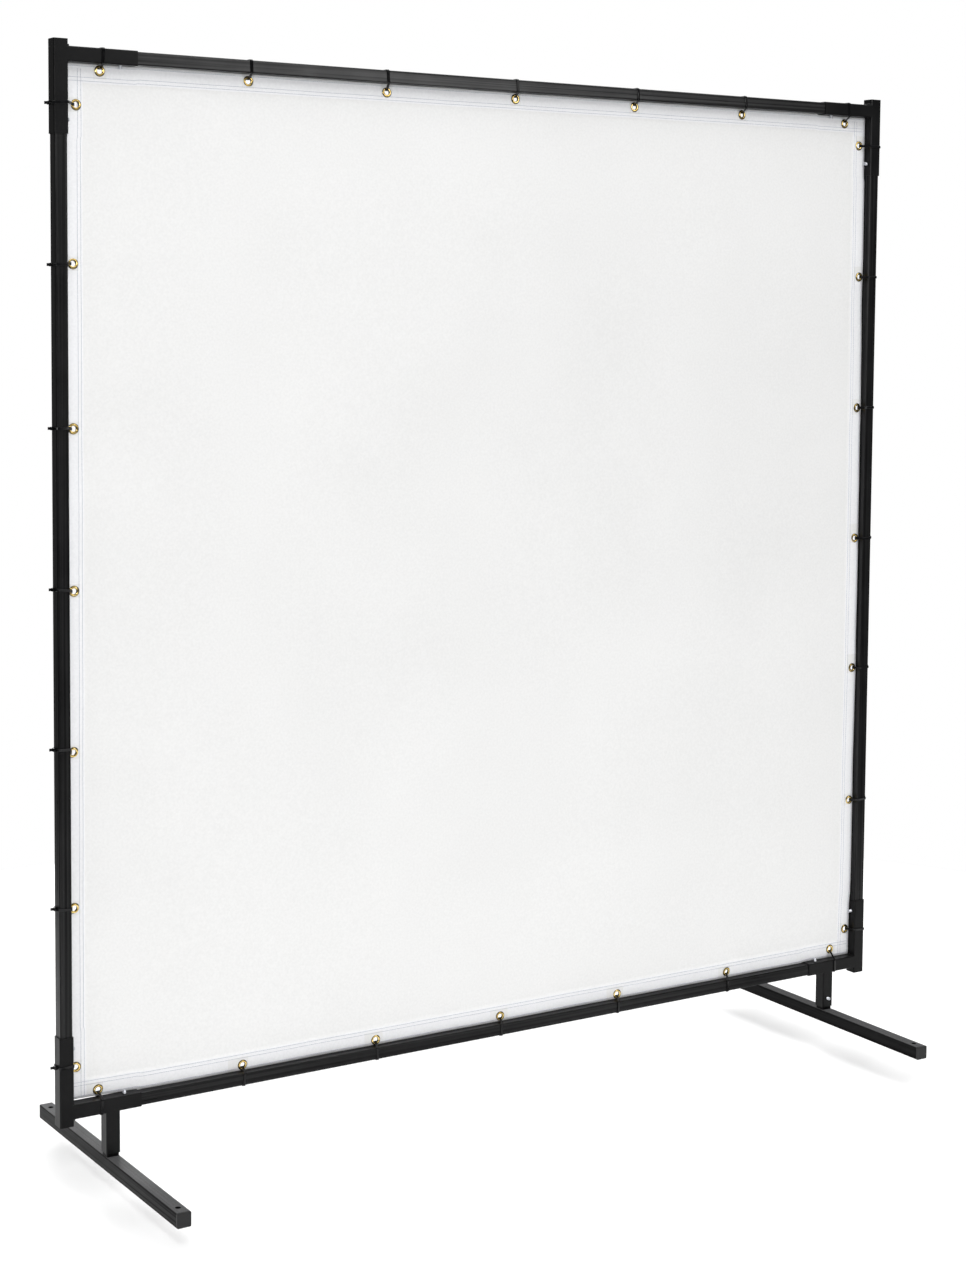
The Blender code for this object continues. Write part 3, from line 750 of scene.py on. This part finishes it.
def make_grommet(name, matrix, mats):
    """An eyelet of bright brass with painted shade down its bore and under its rim."""
    bm = bmesh.new()
    profile = grommet_profile()
    rows = []
    for step in range(GROMMET_STEPS):
        angle = 2 * math.pi * step / GROMMET_STEPS
        rows.append([matrix @ Vector((r * MM * math.cos(angle), y * MM, r * MM * math.sin(angle)))
                     for r, y in profile])
    sweep(bm, rows, True)
    home = matrix.inverted()
    for face in bm.faces:
        middle = home @ face.calc_center_median()
        radius = math.hypot(middle.x, middle.z)
        # Faces near the bore and the rim take the darkened brass: painted shade for the bore and for the
        # crevice under the rim
        dark = radius < GROMMET_BORE + BORE_SHADE or radius > GROMMET_RADIUS - RIM_SHADE
        face.material_index = 1 if dark else 0
    return new_object(name, bm, mats, 50)


# ---------------------------------------------------------------- cable ties

def tie_path(half, radius, centre):
    """Middle line of a tie's loop, as (inwards, backwards) from the tube's centre, with its outward
    direction: round the tube's corners and round one bend through the grommet."""
    offset = TIE_CLEARANCE + TIE_THICKNESS / 2
    corner = half - radius
    circles = [((-corner, -corner), radius + offset), ((-corner, corner), radius + offset),
               ((corner, corner), radius + offset), (centre, TIE_BEND),
               ((corner, -corner), radius + offset)]
    tangents = []
    for (c1, r1), (c2, r2) in zip(circles, circles[1:] + circles[:1]):
        dx, dy = c2[0] - c1[0], c2[1] - c1[1]
        tangents.append(math.atan2(dy, dx) + math.acos((r1 - r2) / math.hypot(dx, dy)))
    path = []
    for i, (c, r) in enumerate(circles):
        start, end = tangents[i - 1], tangents[i]
        while end > start:
            end -= 2 * math.pi
        while end < start - 2 * math.pi:
            end += 2 * math.pi
        for step in range(BEND_STEPS + 1):
            angle = start + (end - start) * step / BEND_STEPS
            direction = (math.cos(angle), math.sin(angle))
            path.append(((c[0] + r * direction[0], c[1] + r * direction[1]), direction))
    return path


def band_section():
    """Outline of a tie's band: off its middle, and across it."""
    thick, wide = TIE_THICKNESS / 2, TIE_HALF_WIDTH
    soft_thick, soft_wide = thick - TIE_EDGE, wide - TIE_EDGE
    return [(-thick, -soft_wide), (-thick, soft_wide), (-soft_thick, wide), (soft_thick, wide),
            (thick, soft_wide), (thick, -soft_wide), (soft_thick, -wide), (-soft_thick, -wide)]


def make_tie(side, number, cloth_map, flat_x, flat_z, mat):
    """A cable tie: its band, its ratchet head and its trimmed tail."""
    node = f"cable_tie_{side}_{number}"
    rng = random.Random(node)
    on_rail = side in LEVELS
    at_end = number in (1, TIES_ON_EDGE)
    half = SLEEVE_HALF if at_end else TUBE_HALF
    slip = TIE_SLIP[side][number - 1] * MM
    if on_rail:
        tube = Vector((box_middle(node).x + slip, 0, RAIL_Z[side]))
        inward, along = Vector((0, 0, -LEVELS[side])), Vector((1, 0, 0))
    else:
        tube = Vector((SIDES[side] * UPRIGHT_X, 0, box_middle(node).z + slip))
        inward, along = Vector((-SIDES[side], 0, 0)), Vector((0, 0, 1))
    back = Vector((0, 1, 0))
    to_grommet = cloth_map.place(flat_x, flat_z) - tube
    # The band's edges meet the round bore before its middle does
    room = math.sqrt(GROMMET_BORE ** 2 - (TIE_HALF_WIDTH + BORE_ROOM) ** 2)
    apex = to_grommet.dot(inward) - room + TIE_THICKNESS * 0.6
    bend = (apex - TIE_BEND + TIE_THICKNESS / 2, to_grommet.dot(back))
    path = tie_path(half, SLEEVE_CORNER if at_end else TUBE_CORNER, bend)
    drift = to_grommet.dot(along)
    lean = rng.uniform(-TIE_LEAN, TIE_LEAN)
    edge_off = 1 if number <= TWISTED_ONE_WAY else -1

    def place(u, v, w):
        """From inwards, backwards and along the tube, with the band led over to the grommet."""
        lead = smooth_step((u - half) / max(apex - half, 0.001))
        slant = lean * (u / half if abs(u) < half else math.copysign(1, u)) * (1 - lead)
        if v < -half * 0.5:
            v -= TWIST * (w * edge_off + TIE_HALF_WIDTH) * (1 - lead)
        return tube + inward * u + back * v + along * (w + drift * lead + slant)

    bm = bmesh.new()
    section = band_section()
    sweep(bm, [[place(u + du * t, v + dv * t, w) for t, w in section] for (u, v), (du, dv) in path], True)
    add_tie_head(bm, place, half, on_rail, rng)
    tie = new_object(f"{node}_strap", bm, [mat], 35)
    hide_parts(node)
    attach(tie, "frame")


def rounded_box(bm, corners_low, corners_high, bevel, place):
    """A box with bevelled edges, placed by a function."""
    sub = bmesh.new()
    bmesh.ops.create_cube(sub, size=1.0)
    for v in sub.verts:
        v.co = Vector([low + (high - low) * (c + 0.5) for c, low, high in
                       zip(v.co, corners_low, corners_high)])
    bmesh.ops.bevel(sub, geom=sub.edges[:], offset=bevel, segments=2, profile=0.6, affect="EDGES")
    made = {v: bm.verts.new(place(*v.co)) for v in sub.verts}
    for face in sub.faces:
        bm.faces.new([made[v] for v in face.verts])
    sub.free()


def add_tie_head(bm, place, half, on_rail, rng):
    """The head on the loop's rear or outer side, with the tail's cut end standing out of it."""
    low = half + TIE_CLEARANCE + TIE_THICKNESS * 0.7
    high = half + TIE_CLEARANCE + TIE_THICKNESS + HEAD_HEIGHT
    tail = high + TAIL_LENGTH - rng.uniform(0, TAIL_TRIM)
    half_wide = TIE_HALF_WIDTH + HEAD_WALL

    def turned(a, b, c):
        """Head coordinates: across the head, away from the tube, along the tube."""
        return place(a, b, c) if on_rail else place(-b, a, c)

    rounded_box(bm, (-HEAD_HALF, low, -half_wide), (HEAD_HALF, high, half_wide), HEAD_BEVEL, turned)
    step_half, step_start, step_end = half_wide - STEP_INSET, *STEP_ACROSS
    rounded_box(bm, (step_start, high - STEP_SUNK, -step_half), (step_end, high + STEP_HEIGHT, step_half),
                STEP_BEVEL, turned)
    tilt = rng.uniform(-TAIL_TILT, TAIL_TILT)

    def tilted(a, b, c):
        return turned(a + (b - high) * tilt, b, c)

    rounded_box(bm, (TAIL_PLACE, low, -TIE_HALF_WIDTH), (TAIL_PLACE + TIE_THICKNESS, tail, TIE_HALF_WIDTH),
                TAIL_BEVEL, tilted)


# ---------------------------------------------------------------- set screws and welds

def make_screw(node, mat):
    """A socket set screw with a real thread, where its node stands."""
    axis = Vector(next(j for j in frame["joints"] if j["child"] == node)["axis"]).normalized()
    side = axis.orthogonal().normalized()
    other = axis.cross(side)
    spokes = []
    for k in range(SCREW_AROUND):
        angle = 2 * math.pi * k / SCREW_AROUND
        spokes.append((angle, side * math.cos(angle) + other * math.sin(angle)))
    low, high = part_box(node)
    length = abs((high - low).dot(axis))
    base = (low + high) / 2 - axis * (length / 2)
    top = base + axis * length
    bm = bmesh.new()

    def thread_ring(height):
        ring = []
        for angle, spoke in spokes:
            phase = (height / SCREW_PITCH - angle / (2 * math.pi)) % 1
            groove = THREAD_DEPTH * (1 - abs(2 * phase - 1)) ** 0.8
            trim = max(0.0, SCREW_CHAMFER - min(height, length - height)) * 0.9
            radius = min(SCREW_RADIUS - groove, SCREW_RADIUS - trim)
            ring.append(bm.verts.new(base + axis * height + spoke * radius))
        return ring

    def hexagon(size, depth):
        ring = []
        for angle, spoke in spokes:
            off_flat = (angle + math.pi / 6) % (math.pi / 3) - math.pi / 6
            radius = SOCKET_HALF / math.cos(off_flat) * size
            ring.append(bm.verts.new(top - axis * depth + spoke * radius))
        return ring

    rings = int(length / SCREW_PITCH * SCREW_RINGS)
    loops = [thread_ring(length * i / rings) for i in range(rings + 1)]
    loops += [hexagon(SOCKET_MOUTH, 0.0), hexagon(1.0, SOCKET_LIP), hexagon(1.0, SOCKET_DEPTH)]
    for a, b in zip(loops, loops[1:]):
        bridge(bm, a, b)
    bm.faces.new(loops[0])
    bm.faces.new(loops[-1])
    screw = new_object(f"{node}_threaded", bm, [mat], 30)
    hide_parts(node)
    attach(screw, node)


def make_weld_bead(name, corner, up, out, mat, radius):
    """A short fillet bead along an inside corner, with the ripples of a hand weld."""
    rng = random.Random(name)
    bead_half = SLEEVE_HALF - BEAD_SHORT
    start, line = corner - Vector((0, bead_half, 0)), Vector((0, 2 * bead_half, 0))
    rows = []
    for step in range(BEAD_STEPS + 1):
        part = step / BEAD_STEPS
        taper = min(1.0, min(part, 1 - part) / BEAD_RUN_IN) ** 0.5 if 0 < part < 1 else 0.25
        ripple = 1 + 0.10 * math.sin(part * line.length / BEAD_RIPPLE * 2 * math.pi)
        ripple += rng.uniform(-0.03, 0.03)
        row = []
        for k in range(BEAD_POINTS + 1):
            angle = -BEAD_OVERLAP + k / BEAD_POINTS * (math.pi / 2 + 2 * BEAD_OVERLAP)
            swell = 0.82 + 0.28 * math.sin(min(max(angle, 0), math.pi / 2) * 2)
            reach = radius * taper * ripple * swell
            row.append(start + line * part + (up * math.sin(angle) + out * math.cos(angle)) * reach)
        row.append(start + line * part - (up + out) * radius * 0.2)
        rows.append(row)
    bm = bmesh.new()
    sweep(bm, rows, False)
    bead = new_object(name, bm, [mat], 60)
    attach(bead, "frame")


def make_welds(mat):
    """Beads where each arm meets its sleeve, and where each leg meets its arm."""
    for side, x_sign in SIDES.items():
        sleeve_face = x_sign * (UPRIGHT_X - SLEEVE_HALF)
        inwards = Vector((-x_sign, 0, 0))
        for level, z_sign in LEVELS.items():
            for where, sign in (("outer", z_sign), ("inner", -z_sign)):
                corner = Vector((sleeve_face, 0, RAIL_Z[level] + sign * SLEEVE_HALF))
                if where == "outer":
                    corner += Vector((-x_sign * BEAD_OUT, 0, sign * BEAD_OUT))
                make_weld_bead(f"weld_{level}_{side}_{where}", corner, Vector((0, 0, sign)), inwards, mat,
                               OUTER_BEAD if where == "outer" else INNER_BEAD)
        leg_x = box_middle(f"foot_{side}").x
        for where, sign in (("outer", x_sign), ("inner", -x_sign)):
            corner = Vector((leg_x + sign * SLEEVE_HALF, 0, RAIL_Z["bottom"] - SLEEVE_HALF))
            make_weld_bead(f"weld_leg_{side}_{where}", corner, Vector((0, 0, -1)), Vector((sign, 0, 0)),
                           mat, INNER_BEAD)


# ---------------------------------------------------------------- stage

def make_floor():
    """A pale round floor, low enough for the feet to stay in sight when they are drawn down."""
    travel = next(j for j in frame["joints"] if j["name"] == "foot_left_slide")["range_m"][1]
    place = (0, 0, -travel - FLOOR_CLEARANCE)
    bpy.ops.mesh.primitive_circle_add(vertices=96, radius=FLOOR_RADIUS, fill_type="NGON", location=place)
    floor = bpy.context.object
    floor.name = "studio_floor"
    pale = Shader("studio_floor", (0.9, 0.9, 0.9), 0.8, Specular_IOR_Level=0.1)
    clouds = pale.colours(pale.noise(2.0, 3.0), [(0.2, (0.95, 0.95, 0.95)), (0.8, (0.97, 0.97, 0.97))])
    pale.set("Base Color", clouds)
    floor.data.materials.append(pale.mat)


def make_surround():
    """White behind the screen, as the camera sees it, but a weaker light on the screen itself."""
    world = bpy.data.worlds.new("studio")
    bpy.context.scene.world = world
    world.use_nodes = True
    nodes, links = world.node_tree.nodes, world.node_tree.links
    seen, lit = nodes["Background"], nodes.new("ShaderNodeBackground")
    for background, strength in ((seen, 1.0), (lit, SURROUND)):
        background.inputs["Color"].default_value = (1, 1, 1, 1)
        background.inputs["Strength"].default_value = strength
    mix, path = nodes.new("ShaderNodeMixShader"), nodes.new("ShaderNodeLightPath")
    links.new(path.outputs["Is Camera Ray"], mix.inputs["Fac"])
    links.new(lit.outputs["Background"], mix.inputs[1])
    links.new(seen.outputs["Background"], mix.inputs[2])
    links.new(mix.outputs["Shader"], nodes["World Output"].inputs["Surface"])


def make_soft_box(name, place, target, size, power):
    data = bpy.data.lights.new(name, "AREA")
    data.shape = "RECTANGLE"
    data.size, data.size_y = size
    data.energy = power
    light = bpy.data.objects.new(name, data)
    light.location = place
    light.rotation_euler = (Vector(target) - Vector(place)).to_track_quat("-Z", "Y").to_euler()
    bpy.context.scene.collection.objects.link(light)


def make_stage():
    make_floor()
    make_surround()
    for light in LIGHTS:
        make_soft_box(*light)
    bpy.context.scene.view_settings.view_transform = "Standard"


def make_camera():
    yaw, pitch, roll = (math.radians(a) for a in (CAMERA_YAW, CAMERA_PITCH, CAMERA_ROLL))
    ahead = Vector((math.sin(yaw) * math.cos(pitch), math.cos(yaw) * math.cos(pitch), math.sin(pitch)))
    level_right = Vector((math.cos(yaw), -math.sin(yaw), 0))
    level_up = level_right.cross(ahead)
    right = math.cos(roll) * level_right + math.sin(roll) * level_up
    up = math.cos(roll) * level_up - math.sin(roll) * level_right
    data = bpy.data.cameras.new("camera")
    data.sensor_width = 36
    data.lens = CAMERA_LENS
    data.shift_x, data.shift_y = CAMERA_SHIFT
    camera = bpy.data.objects.new("camera", data)
    turn = Matrix((right, up, -ahead)).transposed()
    camera.matrix_world = Matrix.Translation(CAMERA_PLACE) @ turn.to_4x4()
    bpy.context.scene.collection.objects.link(camera)
    bpy.context.scene.camera = camera


# ---------------------------------------------------------------- assembly

def dress(node, mat):
    """Gives a carried-over CAD node its finish and smooth, crisp-edged shading."""
    mesh = NODES[node].data
    mesh.materials.clear()
    mesh.materials.append(mat)
    mesh.shade_smooth()
    mesh.set_sharp_from_angle(angle=math.radians(35))


def dress_frame():
    """Powder coat on the tubes, fittings and feet, and plastic on the feet's caps."""
    upright_coat = powder_coat("powder_coat_upright", "Z", 0.16)
    fitting_coat = powder_coat("powder_coat_fitting", None)
    rail_coats = {"top": powder_coat("powder_coat_rail_top", "X", 0.26),
                  "bottom": powder_coat("powder_coat_rail_bottom", "X")}
    # The feet's coat has pale dust on its tops, which also paints their sheen
    foot_coat = powder_coat("powder_coat_foot", "Y", 0.03, 0.11)
    plastic = cap_plastic()
    for side in SIDES:
        dress(f"upright_{side}", upright_coat)
        dress(f"foot_{side}", foot_coat)
        for end in FACES:
            dress(f"foot_cap_{side}_{end}", plastic)
        for level in LEVELS:
            dress(f"corner_fitting_{level}_{side}", fitting_coat)
    for level in LEVELS:
        dress(f"rail_{level}", rail_coats[level])


def hang_curtain(cloth_map):
    """The cloth with its stitching, grommets and ties."""
    # The hem's copy is paler and bluer than the cloth: partly the hem's own tone, partly painted light
    # against the shade under the rails
    mats = [cloth("coated_cloth", (0.745, 0.745, 0.74), (0.80, 0.80, 0.795)),
            cloth("coated_cloth_hem_painted_light", (0.79, 0.795, 0.81), (0.86, 0.865, 0.88))]
    curtain = make_curtain(cloth_map, mats)
    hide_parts("curtain")
    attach(curtain, "frame")
    yarn = thread_yarn()
    for face in FACES:
        stitching = make_stitching(cloth_map, face, yarn)
        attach(stitching, "frame")
    # The second brass is a darkened copy, painted shade for the grommets' bores and rims
    metals = [brass("brass"), brass("brass_painted_shade", 0.16)]
    nylon = tie_nylon()
    for side, number, flat_x, flat_z in cloth_map.grommets():
        rng = random.Random(f"grommet{side}{number}")
        tilts = [math.radians(rng.uniform(-GROMMET_TILT, GROMMET_TILT)) for _ in range(2)]
        tilt = Matrix.Rotation(tilts[0], 3, "X") @ Matrix.Rotation(tilts[1], 3, "Z")
        turn = cloth_map.turn(flat_x, flat_z) @ tilt
        matrix = Matrix.Translation(cloth_map.place(flat_x, flat_z)) @ turn.to_4x4()
        grommet = make_grommet(f"grommet_{side}_{number}", matrix, metals)
        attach(grommet, "frame")
        make_tie(side, number, cloth_map, flat_x, flat_z, nylon)


def build():
    make_camera()
    make_stage()
    dress_frame()
    zinc = zinc_plate()
    for node in NODES:
        if node.startswith("set_screw"):
            make_screw(node, zinc)
    make_welds(weld_metal())
    hang_curtain(Cloth())


build()
